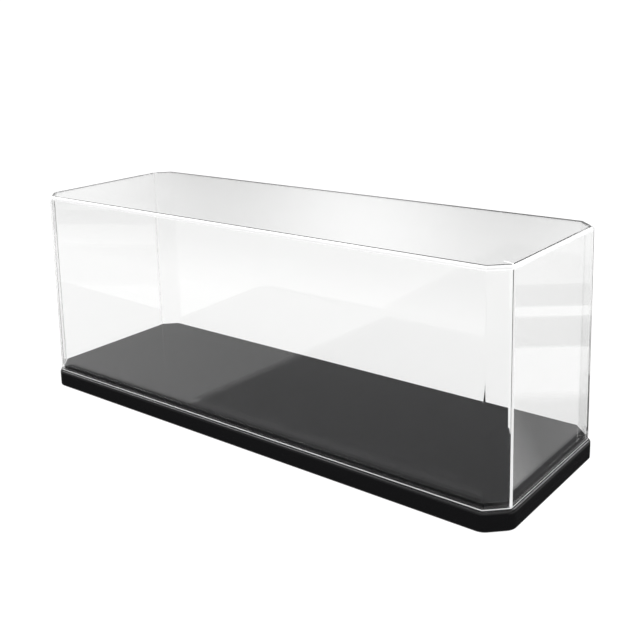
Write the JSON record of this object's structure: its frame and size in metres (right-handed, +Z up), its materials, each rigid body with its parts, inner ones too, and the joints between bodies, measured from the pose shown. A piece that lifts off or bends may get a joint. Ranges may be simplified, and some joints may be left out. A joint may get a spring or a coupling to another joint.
{
  "type": "display case",
  "caption": "Long model display case: a clear one-piece cover with flattened corners lifts off the raised deck of a slim glossy black base.",
  "frame": {"origin": "middle of the footprint, on the plane the base stands on", "axes": "+X along the length to the case's right-hand end seen from the front, +Y to its back, +Z up"},
  "size_m": [0.2524, 0.086, 0.0967],
  "materials": {
    "clear_plastic": "polished clear moulded polystyrene",
    "black_plastic": "gloss black moulded polystyrene"
  },
  "bodies": {
    "base": {"base": "black_plastic"},
    "cover": {"clear_cover": "clear_plastic"}
  },
  "joints": [
    {"name": "cover_lift", "type": "slide", "parent": "base", "child": "cover", "axis": [0, 0, 1], "range_m": [0, 0.1]}
  ]
}
